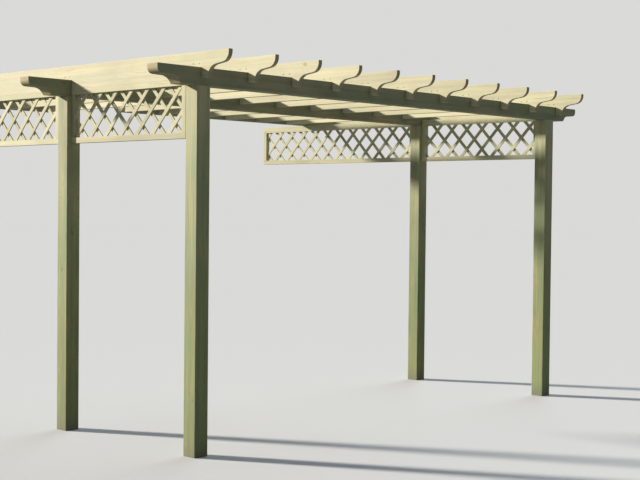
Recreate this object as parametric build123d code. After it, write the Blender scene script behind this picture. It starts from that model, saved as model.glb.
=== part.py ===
"""Lean-to timber pergola: four square posts, two beams with ogee ends, eleven notched
rafters that end on two ledgers, and four framed lattice panels along the sides.

The back is stepped in plan. The rafters on the left reach back to the far ledger, and
the rest stop at the near ledger.

Millimetres, +Z up. X runs along the open front from left to right, Y runs from the
front to the back, and Z = 0 is the floor that the posts stand on. The origin is the
middle of the pergola's outline on the floor.
"""
from build123d import *
from math import atan2, ceil, cos, degrees, floor, radians, sin, tan
import os

# Posts
post_side = 115
post_height = 2463
post_span = 4100
post_row_gap = 1433

# Beams over the two rows of posts
beam_thickness = 105
beam_depth = 118
beam_overhang_left = 390
beam_overhang_right = {"front": 425, "rear": 260}

# Rafters from front to back
rafter_count = 11
long_rafter_count = 4
last_rafter_outset = 120
rafter_thickness = 34
rafter_depth = 173
rafter_lap = 68
rafter_overhang = 316

# Back side
near_wall_distance = 2980
far_wall_distance = 3560
ledger_thickness = 45
ledger_end_cover = 20

# Ogee ends, worked down from the top edge
rafter_nose_flat = 16
rafter_nose_radius = 67
rafter_step_run = 71
rafter_step_fall = 9
rafter_foot_angle = 90
beam_nose_flat = 26
beam_nose_radius = 39
beam_step_run = 80
beam_step_fall = 2
beam_foot_angle = 65

# Lattice panels
panel_height = 396
panel_depth = 45
stile_width = 40
rail_height = 41
backing_strip_height = 17
left_panel_gap = 42
slat_width = 28
slat_thickness = 9
slat_pitch = 175
slat_angle = 46.5
slat_first_crossing = 60
slat_tenon = 12

# Clearances
notch_play = 0.3

# Levels and places that follow from the sizes above
beam_top = post_height + beam_depth
rafter_underside = beam_top - rafter_lap
rafter_top = rafter_underside + rafter_depth
rafter_pitch = (post_span + last_rafter_outset) / (rafter_count - 1)
panel_underside = rafter_underside - panel_height
side_panel_width = post_row_gap - post_side
side_panel_end = post_row_gap - post_side / 2
back_panel_width = far_wall_distance - post_row_gap - post_side / 2
middle_x = (post_span + beam_overhang_right["front"] - beam_overhang_left) / 2
middle_y = (far_wall_distance - rafter_overhang) / 2
to_origin = Pos(-middle_x, -middle_y, 0)

os.makedirs("parts", exist_ok=True)


def save(name, shape):
    """Move one piece to the shared origin and write it as its own file."""
    export_step(to_origin * shape, f"parts/{name}.step")


def ogee_end(depth, nose_flat, nose_radius, step_run, step_fall, foot_angle):
    """Edges of an ogee end from its top corner at (0, 0) down to the foot of its cove.

    The outline drops as a short flat, rounds under the nose, runs back along a gently
    falling step and drops through a hollow cove, which meets the lower edge at the foot
    angle. It points towards minus X.
    """
    slope = atan2(step_fall, step_run)
    cove_drop = depth - nose_flat - nose_radius * cos(slope) - step_fall
    cove_radius = cove_drop / (cos(slope) - cos(radians(foot_angle)))
    flat = Line((0, 0), (0, -nose_flat))
    nose = JernArc(flat @ 1, (0, -1), nose_radius, 90 - degrees(slope))
    step = Line(nose @ 1, (nose @ 1) + Vector(step_run, -step_fall))
    cove = JernArc(step @ 1, step % 1, cove_radius, degrees(slope) - foot_angle)
    return [flat, nose, step, cove]


def face_inside(edges):
    """The flat face that a closed run of edges bounds."""
    return make_face((Curve() + edges).edges())


def post(x, y):
    """A square post with its centre line at (x, y)."""
    size = (post_side, post_side, post_height)
    upright = (Align.CENTER, Align.CENTER, Align.MIN)
    return Pos(x, y, 0) * Box(*size, align=upright)


def beam(y, overhang_right):
    """A beam over one row of posts, with an ogee at each end."""
    length = post_span + beam_overhang_left + overhang_right
    left_end = Curve() + ogee_end(
        beam_depth,
        beam_nose_flat,
        beam_nose_radius,
        beam_step_run,
        beam_step_fall,
        beam_foot_angle,
    )
    right_end = Pos(length, 0) * mirror(left_end, about=Plane.YZ)
    left_foot = left_end.vertices().sort_by(Axis.Y)[0]
    right_foot = right_end.vertices().sort_by(Axis.Y)[0]
    top_edge = Line((0, 0), (length, 0))
    bottom_edge = Line(tuple(left_foot), tuple(right_foot))
    side = face_inside([left_end, right_end, top_edge, bottom_edge])
    upright_side = Plane.XZ * Pos(-beam_overhang_left, beam_top) * side
    return Pos(0, y, 0) * extrude(upright_side, amount=beam_thickness / 2, both=True)


def rafter(x, wall_distance):
    """A rafter on edge, ogee at the front, notched over both beams and cut at its ledger."""
    length = rafter_overhang + wall_distance - ledger_thickness
    front_end = ogee_end(
        rafter_depth,
        rafter_nose_flat,
        rafter_nose_radius,
        rafter_step_run,
        rafter_step_fall,
        rafter_foot_angle,
    )
    foot = front_end[-1] @ 1
    rest = Polyline(foot, (length, -rafter_depth), (length, 0), (0, 0))
    side = face_inside(front_end + [rest])
    upright_side = Plane.YZ * Pos(-rafter_overhang, rafter_top) * side
    board = extrude(upright_side, amount=rafter_thickness / 2, both=True)
    notch_width = beam_thickness + 2 * notch_play
    notch = Box(rafter_thickness, notch_width, 2 * rafter_lap)
    for beam_y in (0, post_row_gap):
        board -= Pos(0, beam_y, beam_top - rafter_lap) * notch
    return Pos(x, 0, 0) * board


def ledger(first_x, last_x, wall_distance):
    """The board that the rafters from first_x to last_x butt against."""
    length = last_x - first_x + rafter_thickness + 2 * ledger_end_cover
    size = (length, ledger_thickness, rafter_depth)
    centre = ((first_x + last_x) / 2, wall_distance - ledger_thickness / 2)
    bottom = (Align.CENTER, Align.CENTER, Align.MIN)
    return Pos(*centre, rafter_underside) * Box(*size, align=bottom)


def slat_row(first_foot, lean, opening_width, opening_height):
    """One layer of parallel slats, as a flat sketch over the opening and its grooves.

    first_foot is where one slat's middle line meets the bottom of the opening, measured
    from the opening's left edge. lean is +1 for slats that rise to the right and -1 for
    slats that rise to the left.
    """
    rise_run = opening_height / tan(radians(slat_angle))
    low = min(0, -lean * rise_run)
    high = opening_width + max(0, -lean * rise_run)
    first = ceil((low - first_foot) / slat_pitch)
    last = floor((high - first_foot) / slat_pitch)
    length = 2 * (opening_height / sin(radians(slat_angle)) + slat_width)
    tilt = slat_angle if lean > 0 else 180 - slat_angle
    slats = [
        Pos(first_foot + count * slat_pitch, 0)
        * Rot(0, 0, tilt)
        * Rectangle(length, slat_width)
        for count in range(first, last + 1)
    ]
    grooved_size = (opening_width + 2 * slat_tenon, opening_height + 2 * slat_tenon)
    grooved = Pos(opening_width / 2, opening_height / 2) * Rectangle(*grooved_size)
    return grooved & (Sketch() + slats)


def lattice_panel(width):
    """A framed lattice panel standing in the YZ plane, its back bottom corner at the origin.

    The outer layer of slats, towards minus X, rises towards the front from the back
    corner, and the inner layer lies against it and rises the other way. A strip under the
    top rail backs them both.
    """
    opening_width = width - 2 * stile_width
    opening_height = panel_height - 2 * rail_height
    foot_gap = 2 * slat_first_crossing / tan(radians(slat_angle))
    inner_foot = opening_width - foot_gap
    corner = (Align.MIN, Align.MIN)
    into_frame = Pos(stile_width, rail_height)
    border = Rectangle(width, panel_height, align=corner) - into_frame * Rectangle(
        opening_width, opening_height, align=corner
    )
    strip = Pos(stile_width, panel_height - rail_height) * Rectangle(
        opening_width, backing_strip_height, align=(Align.MIN, Align.MAX)
    )
    outer = into_frame * slat_row(opening_width, -1, opening_width, opening_height)
    inner = into_frame * slat_row(inner_foot, +1, opening_width, opening_height)
    frame = extrude(Plane.YZ * border, amount=panel_depth / 2, both=True)
    outer_layer = extrude(Plane.YZ * outer, amount=-slat_thickness)
    inner_layer = extrude(Plane.YZ * inner, amount=slat_thickness)
    backing = Pos(slat_thickness, 0, 0) * extrude(
        Plane.YZ * strip, amount=panel_depth / 2 - slat_thickness
    )
    return Pos(0, -width, 0) * (frame + outer_layer + inner_layer + backing)


for row, y in {"front": 0, "rear": post_row_gap}.items():
    save(f"post_{row}_left", post(0, y))
    save(f"post_{row}_right", post(post_span, y))
    save(f"beam_{row}", beam(y, beam_overhang_right[row]))

rafter_places = [count * rafter_pitch for count in range(rafter_count)]
for count, x in enumerate(rafter_places):
    is_long = count < long_rafter_count
    wall_distance = far_wall_distance if is_long else near_wall_distance
    save(f"rafter_{count + 1:02d}", rafter(x, wall_distance))

long_places = rafter_places[:long_rafter_count]
short_places = rafter_places[long_rafter_count:]
save("ledger_far_wall", ledger(long_places[0], long_places[-1], far_wall_distance))
save("ledger_near_wall", ledger(short_places[0], short_places[-1], near_wall_distance))

panels = {
    "side": (side_panel_end, side_panel_width),
    "back": (far_wall_distance, back_panel_width),
}
for name, (end, width) in panels.items():
    left_panel = Pos(0, end, panel_underside) * lattice_panel(width - left_panel_gap)
    turned_panel = Pos(0, -width, 0) * Rot(0, 0, 180) * lattice_panel(width)
    right_panel = Pos(post_span, end, panel_underside) * turned_panel
    save(f"lattice_left_{name}", left_panel)
    save(f"lattice_right_{name}", right_panel)
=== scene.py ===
"""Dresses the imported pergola: every board gets eased edges and its own piece of grain, the
lattice panels are rebuilt from their separate members, and the screws and nails go in.

Metres, in the row frame: X along the open front, Y from the front to the back, Z up.
"""

from math import ceil, cos, floor, pi, radians, sin, tan
from random import Random

import bmesh
import bpy
from mathutils import Matrix, Vector


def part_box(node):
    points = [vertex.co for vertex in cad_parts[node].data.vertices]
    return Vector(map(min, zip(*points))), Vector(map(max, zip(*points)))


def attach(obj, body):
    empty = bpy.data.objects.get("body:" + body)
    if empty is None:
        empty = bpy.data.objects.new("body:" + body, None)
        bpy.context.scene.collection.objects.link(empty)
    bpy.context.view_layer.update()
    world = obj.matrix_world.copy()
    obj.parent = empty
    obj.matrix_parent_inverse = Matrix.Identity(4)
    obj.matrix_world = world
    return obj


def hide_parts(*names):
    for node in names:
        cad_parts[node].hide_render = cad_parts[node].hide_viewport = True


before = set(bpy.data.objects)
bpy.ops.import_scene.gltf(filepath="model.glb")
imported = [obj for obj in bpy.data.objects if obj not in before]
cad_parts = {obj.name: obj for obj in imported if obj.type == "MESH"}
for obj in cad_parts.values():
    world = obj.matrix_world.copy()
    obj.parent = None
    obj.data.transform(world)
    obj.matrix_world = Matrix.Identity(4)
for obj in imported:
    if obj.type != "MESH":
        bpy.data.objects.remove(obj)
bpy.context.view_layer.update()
mm = 0.001

X = Vector((1, 0, 0))
Y = Vector((0, 1, 0))
Z = Vector((0, 0, 1))

# Nodes of the part
posts = [f"post_{row}_{side}" for row in ("front", "rear") for side in ("left", "right")]
beams = ["beam_front", "beam_rear"]
rafters = sorted(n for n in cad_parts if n.startswith("rafter_"))
ledgers = ["ledger_far_wall", "ledger_near_wall"]

# Edges
post_arris = 4 * mm
board_arris = 2.5 * mm
batten_arris = 1.2 * mm
arris_steps = 3
round_profile = 0.5
sharp_edge_angle = radians(30)
flat_face_angle = radians(0.5)
weld_distance = 0.01 * mm

# Lattice panels, as in the CAD
stile_width = 40 * mm
rail_height = 41 * mm
backing_strip_height = 17 * mm
slat_width = 28 * mm
slat_thickness = 9 * mm
slat_pitch = 175 * mm
slat_angle = radians(46.5)
slat_first_crossing = 60 * mm
slat_tenon = 12 * mm

# Heads of the fixings: radius, height above the wood and number of sides
nail_head = (2 * mm, 0.6 * mm, 8)
toe_screw_head = (5 * mm, 1 * mm, 12)
coach_screw_head = (9 * mm, 7 * mm, 6)
coach_washer = (16 * mm, 2 * mm, 24)

# A head's outline from its sunk foot to its top, as shares of its radius and its height
head_profile = ((1, -1), (1, 0.7), (0.75, 1))

# Places of the screws: above the beam's top, and to each side of a middle line
toe_screw_rise = 26 * mm
toe_screw_offset = 30 * mm
coach_screw_offset = 45 * mm

# Logs that the boards were sawn from: the pith's distance from the board's middle, and the
# length of log that the boards' places are spread over
pith_distance = {
    "post": (10 * mm, 50 * mm),
    "board": (50 * mm, 140 * mm),
    "batten": (30 * mm, 90 * mm),
}
log_spread = 40.0
dice = Random(11)

# Knots, as balls in the cells of a pattern. The radii are shares of a cell's size, and
# where one comes out below zero the cell has no knot.
knot_cells_per_metre = 7.0
knot_lengthening = (0.7, 1, 1)
knot_bend_stretch = (12, 40, 40)
knot_bend = 35 * mm
knot_radii = (-0.09, 0.10)
knot_levels = (0.0, 0.02)
knot_bark_levels = (-0.02, 0.01)
knot_pull_levels = (-0.22, 0.0)
knot_pull = 9 * mm

# Growth rings: late wood darkens slowly through a ring and ends sharply
ring_spacing = 5.2 * mm
ring_wander = 11 * mm
log_taper = 0.006
ring_stops = ((0.0, 0.0), (0.5, 0.12), (0.88, 1.0), (1.0, 0.05))

# Noises in the timber: features a metre along and across the grain, and detail
wander_noise = ((1.3, 7, 7), 2.0)
streak_noise = ((0.9, 34, 34), 3.0)
fibre_noise = ((14, 900, 900), 2.0)
blotch_noise = ((2.2, 5, 5), 3.0)
stain_noise = ((1.1, 11, 11), 3.0)
resin_noise = ((4, 16, 16), 3.0)
check_line_noise = ((0.8, 26, 26), 1.0)
check_area_noise = ((1.6, 9, 9), 1.0)
wear_noise = ((7, 30, 30), 2.0)

# Middle level of a noise
noise_middle = 0.5

# Levels at which a mark starts and at which it is full
blotch_levels = (0.42, 0.70)
stain_levels = (0.46, 0.68)
resin_levels = (0.58, 0.74)
check_line_levels = (0.008, 0.0)
check_area_levels = (0.60, 0.70)
wear_levels = (0.40, 0.62)
end_cut_levels = (0.3, 1.0)
upward_levels = (0.5, 0.95)

# Heights above the floor, in metres: where a post's foot colour ends and fresh wood is
# reached, and where splashed dirt starts and is full. The blotches stretch the dirt's.
foot_heights = (0.5, 2.7)
dirt_heights = (0.16, 0.0)
dirt_stretch = (0.6, 1.6)

# Marks on every timber: linear colour and strength
resin_mark = ((0.45, 0.29, 0.17), 0.25)
bark_mark = ((0.12, 0.09, 0.045), 0.6)
end_ring_mark = ((0.09, 0.07, 0.035), 0.4)
wear_mark = ((0.44, 0.41, 0.28), 0.5)
# Pale mark on upward faces: partly sun bleaching and partly painted light on the tops
bleach_and_top_light_mark = ((0.40, 0.40, 0.34), 0.45)
dirt_mark = ((0.13, 0.125, 0.10), 0.55)
# Dark mark in the drying checks: painted shade in the cracks
check_painted_shade = ((0.03, 0.03, 0.02), 0.6)
stain_green = (0.10, 0.21, 0.12)
knot_brown = (0.27, 0.18, 0.09)
knot_strengths = (0.3, 0.75)
ring_strength = 0.5
blotch_strength = 0.45
end_cut_strength = 0.7

# How far each of these makes the wood darker or lighter
streak_tones = (0.6, 1.4)
fibre_tones = (0.9, 1.1)
board_tones = (0.88, 1.12)

# Gloss and relief of the wood
timber_roughness = (0.6, 0.84)
ring_polish = 0.08
ring_relief = 0.35
fibre_relief = 0.5
check_relief = -2.0
bark_relief = -0.4
timber_relief_depth = 0.8 * mm

# Linear colours of each timber: between the rings, in the rings and on a sawn end, and for
# the posts near the floor. The stain is how strongly the green has pooled.
timber_finishes = {
    "post_timber": {
        "fresh": (0.38, 0.395, 0.26),
        "late": (0.13, 0.16, 0.08),
        "end_grain": (0.20, 0.18, 0.10),
        "stain": 0.4,
        "foot": (0.205, 0.25, 0.11),
    },
    "beam_timber": {
        "fresh": (0.24, 0.25, 0.165),
        "late": (0.11, 0.13, 0.08),
        "end_grain": (0.36, 0.31, 0.18),
        "stain": 0.35,
    },
    "rafter_timber": {
        "fresh": (0.51, 0.51, 0.37),
        "late": (0.36, 0.365, 0.25),
        "end_grain": (0.18, 0.18, 0.11),
        "stain": 0.08,
    },
    "lattice_timber": {
        "fresh": (0.45, 0.45, 0.315),
        "late": (0.28, 0.30, 0.20),
        "end_grain": (0.20, 0.19, 0.12),
        "stain": 0.2,
    },
    "ledger_timber": {
        "fresh": (0.30, 0.31, 0.205),
        "late": (0.16, 0.175, 0.11),
        "end_grain": (0.20, 0.18, 0.10),
        "stain": 0.3,
    },
}

# Galvanised steel
spangle_noise = ((600, 600, 600), 3.0)
spangle_tones = (0.8, 1.2)
rust_noise = ((90, 90, 90), 3.0)
rust_levels = (0.5, 0.68)
zinc_colour = (0.15, 0.145, 0.13)
rust_colour = (0.11, 0.065, 0.035)
steel_metallic = 0.6
steel_roughness = (0.5, 0.85)
steel_relief_depth = 0.1 * mm

# Sockets of the node that mixes two colours
mix_first = 6
mix_second = 7
mix_result = 2

# Studio. The floor's first tone lights the object and its second is the one that shows.
floor_radius = 120.0
floor_sides = 96
floor_tones = ((0.27, 0.27, 0.26), (0.526, 0.567, 0.631))
sky_colour = (0.93, 0.98, 1.0)
sky_strength = 0.18
backdrop_colour = (0.70, 0.70, 0.69)

# Lamps: a warm key from the left and behind, and a broad fill from the right. The azimuth is
# measured from the right and grows towards the back.
lamps = {
    "key": {
        "azimuth": radians(118),
        "elevation": radians(20),
        "spread": radians(5),
        "energy": 8.6,
        "colour": (1.0, 0.88, 0.72),
    },
    "fill": {
        "azimuth": radians(20),
        "elevation": radians(20),
        "spread": radians(40),
        "energy": 2.2,
        "colour": (0.95, 0.98, 1.0),
    },
}

# Camera at the photograph's place
camera_place = (-7.7565, -8.0923, 1.6747)
camera_yaw = 0.8162
camera_pitch = -0.0262
camera_roll = 0.0101
camera_lens = 72.681
camera_reach = 3 * floor_radius


def across_axes(along):
    """Two directions square to this one and to each other."""
    upright = X if abs(along.z) > abs(along.x) + abs(along.y) else Z
    second = along.cross(upright).normalized()
    return second.cross(along).normalized(), second


def grain_layers(shape):
    """The values that the timber material reads: place in the log, tone, end cut and arris."""
    points = shape.verts.layers
    faces = shape.faces.layers
    return {
        "place": points.float_vector.get("grain_place")
        or points.float_vector.new("grain_place"),
        "tone": points.float.get("board_tone") or points.float.new("board_tone"),
        "end": faces.float.get("end_cut") or faces.float.new("end_cut"),
        "arris": faces.float.get("arris") or faces.float.new("arris"),
    }


def sharp_edges(edges):
    """Those of the edges whose faces meet at an angle."""
    return [e for e in edges if e.calc_face_angle(0) > sharp_edge_angle]


def ease_edges(shape, edges, radius):
    """Rounds the sharp edges over and returns the faces made there."""
    made = bmesh.ops.bevel(
        shape,
        geom=sharp_edges(edges),
        offset=radius,
        offset_type="OFFSET",
        segments=arris_steps,
        profile=round_profile,
        affect="EDGES",
        clamp_overlap=True,
    )
    return set(made["faces"])


def lay_grain(shape, faces, eased, along, kind):
    """Cuts this board out of a log of its own: its place there, its tone and its end cuts."""
    layers = grain_layers(shape)
    verts = {v for f in faces for v in f.verts}
    centre = sum((v.co for v in verts), Vector()) / len(verts)
    first, second = across_axes(along)
    turn = dice.uniform(0, 2 * pi)
    distance = dice.uniform(*pith_distance[kind])
    start = dice.uniform(0, log_spread)
    tone = dice.random()
    for v in verts:
        away = v.co - centre
        v[layers["place"]] = (
            start + away.dot(along),
            distance * cos(turn) + away.dot(first),
            distance * sin(turn) + away.dot(second),
        )
        v[layers["tone"]] = tone
    for face in faces:
        face.normal_update()
        face[layers["end"]] = abs(face.normal.dot(along))
        face[layers["arris"]] = 1.0 if face in eased else 0.0


def finish_piece(name, shape, material, node=None):
    """Turns the finished shape into a piece that rides on the pergola."""
    for edge in shape.edges:
        edge.smooth = edge.calc_face_angle(pi) < sharp_edge_angle
    for face in shape.faces:
        face.smooth = True
    mesh = bpy.data.meshes.new(name)
    shape.to_mesh(mesh)
    shape.free()
    mesh.materials.append(material)
    piece = bpy.data.objects.new(name, mesh)
    bpy.context.scene.collection.objects.link(piece)
    weighted = piece.modifiers.new("even_faces", "WEIGHTED_NORMAL")
    weighted.keep_sharp = True
    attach(piece, "root")
    if node:
        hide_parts(node)


def dressed_board(node, along, kind, radius, slot):
    """The CAD board with its edges eased and its grain laid."""
    shape = bmesh.new()
    shape.from_mesh(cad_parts[node].data)
    bmesh.ops.remove_doubles(shape, verts=shape.verts, dist=weld_distance)
    bmesh.ops.dissolve_limit(
        shape, angle_limit=flat_face_angle, verts=shape.verts, edges=shape.edges
    )
    grain_layers(shape)
    eased = ease_edges(shape, shape.edges, radius)
    lay_grain(shape, list(shape.faces), eased, along, kind)
    finish_piece(f"{node}_timber", shape, looks[slot], node)


def add_plank(shape, outline, near_x, far_x, along):
    """A thin board in the YZ plane with this outline, its edges eased and its grain laid."""
    earlier = set(shape.faces)
    near = [shape.verts.new((near_x, y, z)) for y, z in outline]
    far = [shape.verts.new((far_x, y, z)) for y, z in outline]
    faces = [shape.faces.new(near), shape.faces.new(reversed(far))]
    for i in range(len(outline)):
        faces.append(shape.faces.new((near[i - 1], far[i - 1], far[i], near[i])))
    bmesh.ops.recalc_face_normals(shape, faces=faces)
    eased = ease_edges(shape, {e for f in faces for e in f.edges}, batten_arris)
    made = [f for f in shape.faces if f not in earlier]
    lay_grain(shape, made, eased, along, "batten")


def add_head(shape, centre, outward, radius, proud, sides):
    """A low head with a chamfered rim, sunk a little into the face that it stands on."""
    first, second = across_axes(outward)
    loops = []
    for width_share, height_share in head_profile:
        loop = []
        for i in range(sides):
            turn = 2 * pi * i / sides
            spoke = (first * cos(turn) + second * sin(turn)) * radius * width_share
            loop.append(shape.verts.new(centre + spoke + outward * proud * height_share))
        loops.append(loop)
    faces = [shape.faces.new(loops[0]), shape.faces.new(loops[-1])]
    for low, high in zip(loops, loops[1:]):
        for i in range(sides):
            faces.append(shape.faces.new((low[i - 1], low[i], high[i], high[i - 1])))
    bmesh.ops.recalc_face_normals(shape, faces=faces)


def rectangle(y, z, width, height):
    """Corners of an upright rectangle from its low front corner."""
    return [(y, z), (y + width, z), (y + width, z + height), (y, z + height)]


def clipped(outline, point, outward):
    """The part of the outline on the inner side of a line through the point."""
    kept = []
    for i, end in enumerate(outline):
        start = outline[i - 1]
        from_start = (start - point).dot(outward)
        from_end = (end - point).dot(outward)
        if from_start * from_end < 0:
            kept.append(start.lerp(end, from_start / (from_start - from_end)))
        if from_end <= 0:
            kept.append(end)
    return kept


def slat_feet(first_foot, lean, width, height):
    """Where the slats of one layer meet the bottom of an opening, from its starting edge."""
    rise_run = height / tan(slat_angle)
    low = min(0, -lean * rise_run)
    high = width + max(0, -lean * rise_run)
    first = ceil((low - first_foot) / slat_pitch)
    last = floor((high - first_foot) / slat_pitch)
    return [first_foot + count * slat_pitch for count in range(first, last + 1)]


def slat_outline(foot, up, width, height):
    """Outline of one slat that ends in the grooves round an opening."""
    side = Vector((up.y, -up.x)) * slat_width / 2
    reach = up * (height + width)
    middle = Vector((foot, 0))
    low = Vector((-slat_tenon, -slat_tenon))
    high = Vector((width + slat_tenon, height + slat_tenon))
    outline = [middle - reach - side, middle + reach - side]
    outline += [middle + reach + side, middle - reach + side]
    for point, outward in ((low, (-1, 0)), (low, (0, -1)), (high, (1, 0)), (high, (0, 1))):
        outline = clipped(outline, point, Vector(outward))
    return outline


class LatticePanel:
    """The members of a lattice panel. outer_side is -1 where the panel faces left.

    In the panels that face left, the opening starts at its front edge. The panels that face
    right are the same ones turned round, so their opening starts at its back edge. The
    outer layer of slats rises towards the start and the inner layer crosses it.
    """

    def __init__(self, node, outer_side):
        low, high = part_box(node)
        half_depth = (high.x - low.x) / 2
        self.low = low
        self.high = high
        self.width = high.y - low.y
        self.outward = X * outer_side
        self.middle = (low.x + high.x) / 2
        self.outer_face = self.middle + outer_side * half_depth
        self.inner_face = self.middle - outer_side * half_depth
        self.slat_outer = self.middle + outer_side * slat_thickness
        self.slat_inner = self.middle - outer_side * slat_thickness
        self.turn = -outer_side
        self.opening_width = self.width - 2 * stile_width
        self.opening_height = high.z - low.z - 2 * rail_height
        self.opening_y = (low.y + high.y - self.turn * self.opening_width) / 2
        self.opening_z = low.z + rail_height
        foot_gap = 2 * slat_first_crossing / tan(slat_angle)
        opening = (self.opening_width, self.opening_height)
        self.outer_feet = slat_feet(self.opening_width, -1, *opening)
        self.inner_feet = slat_feet(self.opening_width - foot_gap, 1, *opening)

    def placed(self, along, up):
        """Y and Z of a place in the opening."""
        return self.opening_y + self.turn * along, self.opening_z + up

    def add_frame(self, shape):
        """Rails over the whole width, stiles between them and the strip behind the slats."""
        for z in (self.low.z, self.high.z - rail_height):
            rail = rectangle(self.low.y, z, self.width, rail_height)
            add_plank(shape, rail, self.outer_face, self.inner_face, Y)
        for y in (self.low.y, self.high.y - stile_width):
            stile = rectangle(y, self.opening_z, stile_width, self.opening_height)
            add_plank(shape, stile, self.outer_face, self.inner_face, Z)
        strip_y = self.low.y + stile_width
        strip_z = self.opening_z + self.opening_height - backing_strip_height
        strip = rectangle(strip_y, strip_z, self.opening_width, backing_strip_height)
        add_plank(shape, strip, self.slat_inner, self.inner_face, Y)

    def add_slats(self, shape, feet, lean, face):
        """One layer of slats between the panel's middle and this face."""
        up = Vector((lean * cos(slat_angle), sin(slat_angle)))
        along = Vector((0, self.turn * up.x, up.y))
        for foot in feet:
            outline = slat_outline(foot, up, self.opening_width, self.opening_height)
            add_plank(shape, [self.placed(*p) for p in outline], self.middle, face, along)

    def add_nails(self, shape):
        """A nail head wherever two slats cross in the opening."""
        inset = slat_width / 2
        for outer_foot in self.outer_feet:
            for inner_foot in self.inner_feet:
                along = (outer_foot + inner_foot) / 2
                up = (outer_foot - inner_foot) / 2 * tan(slat_angle)
                beside_stile = not inset < along < self.opening_width - inset
                beside_rail = not inset < up < self.opening_height - inset
                if beside_stile or beside_rail:
                    continue
                centre = Vector((self.slat_outer, *self.placed(along, up)))
                add_head(shape, centre, self.outward, *nail_head)


def lattice_panel(node, outer_side):
    """A lattice panel's timber as one piece and its nails as another."""
    panel = LatticePanel(node, outer_side)
    members = bmesh.new()
    grain_layers(members)
    panel.add_frame(members)
    panel.add_slats(members, panel.outer_feet, -1, panel.slat_outer)
    panel.add_slats(members, panel.inner_feet, 1, panel.slat_inner)
    finish_piece(f"{node}_panel", members, looks["lattice_timber"], node)

    nails = bmesh.new()
    panel.add_nails(nails)
    finish_piece(f"{node}_nails", nails, steel)


def toe_screws():
    """Screws driven down through the rafters' sides into the beams."""
    shape = bmesh.new()
    for rafter in rafters:
        rafter_low, rafter_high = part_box(rafter)
        for beam in beams:
            beam_low, beam_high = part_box(beam)
            beam_y = (beam_low.y + beam_high.y) / 2
            for x, outward in ((rafter_low.x, -X), (rafter_high.x, X)):
                for y in (beam_y - toe_screw_offset, beam_y + toe_screw_offset):
                    centre = Vector((x, y, beam_high.z + toe_screw_rise))
                    add_head(shape, centre, outward, *toe_screw_head)
    finish_piece("toe_screws", shape, steel)


def coach_screws():
    """Screws through the ledgers, a pair in each bay between rafters."""
    shape = bmesh.new()
    for ledger in ledgers:
        ledger_low, ledger_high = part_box(ledger)
        middle_z = (ledger_low.z + ledger_high.z) / 2
        boxes = [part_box(rafter) for rafter in rafters]
        carried = [
            (low.x + high.x) / 2 for low, high in boxes if abs(high.y - ledger_low.y) < mm
        ]
        for start, end in zip(carried, carried[1:]):
            for z in (middle_z - coach_screw_offset, middle_z + coach_screw_offset):
                centre = Vector(((start + end) / 2, ledger_low.y, z))
                add_head(shape, centre, -Y, *coach_washer)
                add_head(shape, centre, -Y, *coach_screw_head)
    finish_piece("coach_screws", shape, steel)


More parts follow.
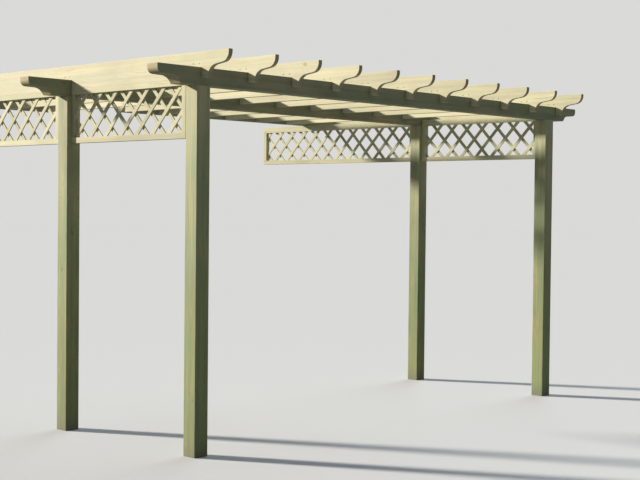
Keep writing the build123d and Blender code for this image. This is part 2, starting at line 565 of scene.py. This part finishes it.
class Graph:
    """Builds the nodes of a material or of the world in short lines."""

    def __init__(self, owner):
        owner.use_nodes = True
        self.tree = owner.node_tree

    def feed(self, socket, value):
        """Links the socket to another one, or sets it to a number, vector or colour."""
        if isinstance(value, bpy.types.NodeSocket):
            self.tree.links.new(value, socket)
        elif socket.type == "RGBA":
            socket.default_value = (*value, 1)
        else:
            socket.default_value = value

    def node(self, kind, settings, inputs):
        """A new node with these settings, its input sockets fed."""
        made = self.tree.nodes.new(kind)
        for key, value in settings.items():
            setattr(made, key, value)
        for key, value in inputs.items():
            self.feed(made.inputs[key], value)
        return made

    def attribute(self, name, output):
        """A value that the mesh carries."""
        settings = {"attribute_name": name}
        return self.node("ShaderNodeAttribute", settings, {}).outputs[output]

    def math(self, operation, *values):
        inputs = dict(enumerate(values))
        return self.node("ShaderNodeMath", {"operation": operation}, inputs).outputs[0]

    def weighted_sum(self, *terms):
        """The sum of each value times its weight."""
        total = 0.0
        for value, weight in terms:
            total = self.math("MULTIPLY_ADD", value, weight, total)
        return total

    def vector(self, operation, output, *values):
        inputs = dict(enumerate(values))
        made = self.node("ShaderNodeVectorMath", {"operation": operation}, inputs)
        return made.outputs[output]

    def reach(self, vector, direction):
        """How far the vector reaches in this direction."""
        return self.vector("DOT_PRODUCT", "Value", vector, direction)

    def noise(self, vector, stretch, detail):
        """Noise whose features are about 1 / stretch metres along each direction."""
        inputs = {
            "Vector": self.vector("MULTIPLY", "Vector", vector, stretch),
            "Scale": 1.0,
            "Detail": detail,
        }
        return self.node("ShaderNodeTexNoise", {}, inputs).outputs["Fac"]

    def noise_vector(self, vector, stretch):
        """Noise as a vector, whose middle is at the origin."""
        stretched = self.vector("MULTIPLY", "Vector", vector, stretch)
        made = self.node("ShaderNodeTexNoise", {}, {"Vector": stretched, "Scale": 1.0})
        return self.vector("SUBTRACT", "Vector", made.outputs["Color"], (noise_middle,) * 3)

    def step(self, value, low, high):
        """0 at low, 1 at high and smooth between."""
        inputs = {"Value": value, "From Min": low, "From Max": high}
        settings = {"interpolation_type": "SMOOTHSTEP"}
        return self.node("ShaderNodeMapRange", settings, inputs).outputs["Result"]

    def scale(self, value, low, high):
        """Turns 0 to 1 into low to high."""
        inputs = {"Value": value, "To Min": low, "To Max": high}
        return self.node("ShaderNodeMapRange", {}, inputs).outputs["Result"]

    def ramp(self, value, stops):
        """A grey ramp through its (place, level) stops."""
        made = self.node("ShaderNodeValToRGB", {}, {"Fac": value})
        elements = made.color_ramp.elements
        while len(elements) < len(stops):
            elements.new(1.0)
        for element, (place, level) in zip(elements, stops):
            element.position = place
            element.color = (level, level, level, 1)
        return made.outputs["Color"]

    def blend(self, share, first, second, mode="MIX"):
        """Mixes a share of the second colour into the first."""
        settings = {"data_type": "RGBA", "blend_type": mode}
        inputs = {"Factor": share, mix_first: first, mix_second: second}
        return self.node("ShaderNodeMix", settings, inputs).outputs[mix_result]

    def mark(self, colour, cover, mark_colour, strength):
        """The colour with a mark over it where the cover is 1."""
        return self.blend(self.math("MULTIPLY", cover, strength), colour, mark_colour)

    def darken(self, colour, level):
        """The colour times a grey level."""
        levels = {"Red": level, "Green": level, "Blue": level}
        grey = self.node("ShaderNodeCombineColor", {}, levels)
        return self.blend(1.0, colour, grey.outputs["Color"], "MULTIPLY")


class Finish(Graph):
    """Builds one material."""

    def __init__(self, name):
        self.material = bpy.data.materials.new(name)
        super().__init__(self.material)
        self.shader = self.tree.nodes["Principled BSDF"]

    def set(self, socket, value):
        """Feeds one of the shader's own sockets."""
        self.feed(self.shader.inputs[socket], value)

    def surface(self, colour, roughness, height, depth):
        """Finishes the material, whose relief is this deep where its height is 1."""
        bump = self.node("ShaderNodeBump", {}, {"Height": height, "Distance": depth})
        self.set("Base Color", colour)
        self.set("Roughness", roughness)
        self.set("Normal", bump.outputs["Normal"])
        return self.material


def knots(look, place):
    """Where there is a knot, where its bark is, and where the grain bends round it."""
    uneven = look.noise_vector(place, knot_bend_stretch)
    bend = look.vector("MULTIPLY", "Vector", uneven, (knot_bend,) * 3)
    bent_place = look.vector("ADD", "Vector", place, bend)
    knot_place = look.vector("MULTIPLY", "Vector", bent_place, knot_lengthening)
    cell_inputs = {"Vector": knot_place, "Scale": knot_cells_per_metre}
    cells = look.node("ShaderNodeTexVoronoi", {}, cell_inputs).outputs
    radius = look.scale(look.reach(cells["Color"], X), *knot_radii)
    depth = look.math("SUBTRACT", radius, cells["Distance"])
    knot = look.step(depth, *knot_levels)
    bark = look.math("SUBTRACT", look.step(depth, *knot_bark_levels), knot)
    return knot, bark, look.step(depth, *knot_pull_levels)


def growth_rings(look, place, near_knot):
    """Rings round the pith, which wander along the log and bend round the knots."""
    across = look.vector("MULTIPLY", "Vector", place, Y + Z)
    radius = look.vector("LENGTH", "Value", across)
    wander = look.scale(look.noise(place, *wander_noise), -ring_wander, ring_wander)
    ring_place = look.weighted_sum(
        (radius, 1), (wander, 1), (look.reach(place, X), -log_taper), (near_knot, knot_pull)
    )
    phase = look.math("FRACT", look.math("MULTIPLY", ring_place, 1 / ring_spacing))
    return look.ramp(phase, ring_stops)


def drying_checks(look, place):
    """Thin cracks along the grain, in some areas only."""
    middle = look.math("SUBTRACT", look.noise(place, *check_line_noise), noise_middle)
    line = look.step(look.math("ABSOLUTE", middle), *check_line_levels)
    area = look.step(look.noise(place, *check_area_noise), *check_area_levels)
    return look.math("MULTIPLY", line, area)


def timber(name, fresh, late, end_grain, stain, foot=None):
    """Stained softwood: growth rings, fibres, knots, blotches, end grain and worn arrises."""
    look = Finish(name)
    place = look.attribute("grain_place", "Vector")
    tone = look.attribute("board_tone", "Fac")
    end = look.attribute("end_cut", "Fac")
    arris = look.attribute("arris", "Fac")
    height = look.reach(look.node("ShaderNodeTexCoord", {}, {}).outputs["Object"], Z)
    upward = look.reach(look.node("ShaderNodeNewGeometry", {}, {}).outputs["Normal"], Z)

    # Where each part and mark of the wood is
    knot, bark, near_knot = knots(look, place)
    ring = growth_rings(look, place, near_knot)
    check = drying_checks(look, place)
    streak = look.noise(place, *streak_noise)
    fibre = look.noise(place, *fibre_noise)
    blotch = look.noise(place, *blotch_noise)
    blotched = look.step(blotch, *blotch_levels)
    stained = look.step(look.noise(place, *stain_noise), *stain_levels)
    resinous = look.step(look.noise(place, *resin_noise), *resin_levels)
    worn = look.math("MULTIPLY", arris, look.step(look.noise(place, *wear_noise), *wear_levels))
    dirt_height = look.math("MULTIPLY", height, look.scale(blotch, *dirt_stretch))

    # Colour of the wood, and then what lies on it
    colour = look.blend(look.step(height, *foot_heights), foot or fresh, fresh)
    colour = look.mark(colour, ring, late, ring_strength)
    colour = look.mark(colour, blotched, late, blotch_strength)
    colour = look.mark(colour, stained, stain_green, stain)
    colour = look.mark(colour, resinous, *resin_mark)
    colour = look.darken(colour, look.scale(streak, *streak_tones))
    colour = look.darken(colour, look.scale(fibre, *fibre_tones))
    colour = look.darken(colour, look.scale(tone, *board_tones))
    colour = look.mark(colour, knot, knot_brown, look.scale(fibre, *knot_strengths))
    colour = look.mark(colour, bark, *bark_mark)
    end_colour = look.mark(end_grain, ring, *end_ring_mark)
    colour = look.mark(colour, look.step(end, *end_cut_levels), end_colour, end_cut_strength)
    colour = look.mark(colour, worn, *wear_mark)
    # Lighter on upward faces: partly sun bleaching, partly painted top light
    colour = look.mark(colour, look.step(upward, *upward_levels), *bleach_and_top_light_mark)
    colour = look.mark(colour, look.step(dirt_height, *dirt_heights), *dirt_mark)
    # Painted shade: the drying checks are darkened where their cracks lie in shade
    colour = look.mark(colour, check, *check_painted_shade)

    rough = look.scale(streak, *timber_roughness)
    relief = look.weighted_sum(
        (ring, ring_relief), (fibre, fibre_relief), (check, check_relief), (bark, bark_relief)
    )
    return look.surface(
        colour, look.weighted_sum((rough, 1), (ring, -ring_polish)), relief, timber_relief_depth
    )


def dull_steel(name):
    """Galvanised steel gone dull, with brown spots where the zinc is off."""
    look = Finish(name)
    place = look.node("ShaderNodeTexCoord", {}, {}).outputs["Object"]
    spangle = look.noise(place, *spangle_noise)
    spots = look.step(look.noise(place, *rust_noise), *rust_levels)
    colour = look.blend(spots, zinc_colour, rust_colour)
    colour = look.darken(colour, look.scale(spangle, *spangle_tones))
    look.set("Metallic", steel_metallic)
    return look.surface(colour, look.scale(spots, *steel_roughness), spangle, steel_relief_depth)


def add_floor():
    """A matt floor, pale to the camera and darker in the light that it throws back."""
    shape = bmesh.new()
    bmesh.ops.create_circle(shape, cap_ends=True, segments=floor_sides, radius=floor_radius)
    mesh = bpy.data.meshes.new("studio_floor")
    shape.to_mesh(mesh)
    shape.free()
    studio_floor = bpy.data.objects.new("studio_floor", mesh)
    bpy.context.scene.collection.objects.link(studio_floor)
    look = Finish("studio_floor_look")
    seen = look.node("ShaderNodeLightPath", {}, {}).outputs["Is Camera Ray"]
    look.set("Base Color", look.blend(seen, *floor_tones))
    look.set("Specular IOR Level", 0.0)
    mesh.materials.append(look.material)


def add_lamp(name, azimuth, elevation, spread, energy, colour):
    """A distant lamp that shines from this direction."""
    data = bpy.data.lights.new(name, "SUN")
    data.energy = energy
    data.angle = spread
    data.color = colour
    lamp = bpy.data.objects.new(name, data)
    bpy.context.scene.collection.objects.link(lamp)
    flat = Vector((cos(azimuth), sin(azimuth), 0)) * cos(elevation)
    lamp.rotation_mode = "QUATERNION"
    lamp.rotation_quaternion = (flat + Z * sin(elevation)).to_track_quat("Z", "Y")


def add_world():
    """An even sky, with a plain pale backdrop for the camera and in reflections."""
    world = bpy.data.worlds.new("studio")
    bpy.context.scene.world = world
    graph = Graph(world)
    graph.tree.nodes.clear()
    sky = graph.node("ShaderNodeBackground", {}, {"Color": sky_colour, "Strength": sky_strength})
    backdrop = graph.node("ShaderNodeBackground", {}, {"Color": backdrop_colour})
    rays = graph.node("ShaderNodeLightPath", {}, {}).outputs
    seen = graph.math("MAXIMUM", rays["Is Camera Ray"], rays["Is Glossy Ray"])
    inputs = {0: seen, 1: sky.outputs[0], 2: backdrop.outputs[0]}
    light = graph.node("ShaderNodeMixShader", {}, inputs)
    graph.node("ShaderNodeOutputWorld", {}, {"Surface": light.outputs[0]})


def add_camera():
    """The camera, turned by its yaw, pitch and roll."""
    data = bpy.data.cameras.new("camera")
    data.lens = camera_lens
    data.clip_end = camera_reach
    camera = bpy.data.objects.new("camera", data)
    bpy.context.scene.collection.objects.link(camera)
    bpy.context.scene.camera = camera
    ahead = Vector((sin(camera_yaw), cos(camera_yaw), 0))
    forward = ahead * cos(camera_pitch) + Z * sin(camera_pitch)
    level = Vector((cos(camera_yaw), -sin(camera_yaw), 0))
    upright = level.cross(forward)
    camera_right = cos(camera_roll) * level + sin(camera_roll) * upright
    camera_up = cos(camera_roll) * upright - sin(camera_roll) * level
    turned = Matrix((camera_right, camera_up, -forward)).transposed()
    camera.matrix_world = Matrix.Translation(camera_place) @ turned.to_4x4()


looks = {slot: timber(f"{slot}_look", **finish) for slot, finish in timber_finishes.items()}
steel = dull_steel("dull_steel")

# The pergola
for post in posts:
    dressed_board(post, Z, "post", post_arris, "post_timber")
for beam in beams:
    dressed_board(beam, X, "board", board_arris, "beam_timber")
for rafter in rafters:
    dressed_board(rafter, Y, "board", board_arris, "rafter_timber")
for ledger in ledgers:
    dressed_board(ledger, X, "board", board_arris, "ledger_timber")
for side, outer_side in (("left", -1), ("right", 1)):
    for place in ("side", "back"):
        lattice_panel(f"lattice_{side}_{place}", outer_side)
toe_screws()
coach_screws()

# The studio
add_floor()
for lamp_name, lamp_settings in lamps.items():
    add_lamp(lamp_name, **lamp_settings)
add_world()
add_camera()
bpy.context.scene.view_settings.view_transform = "Standard"
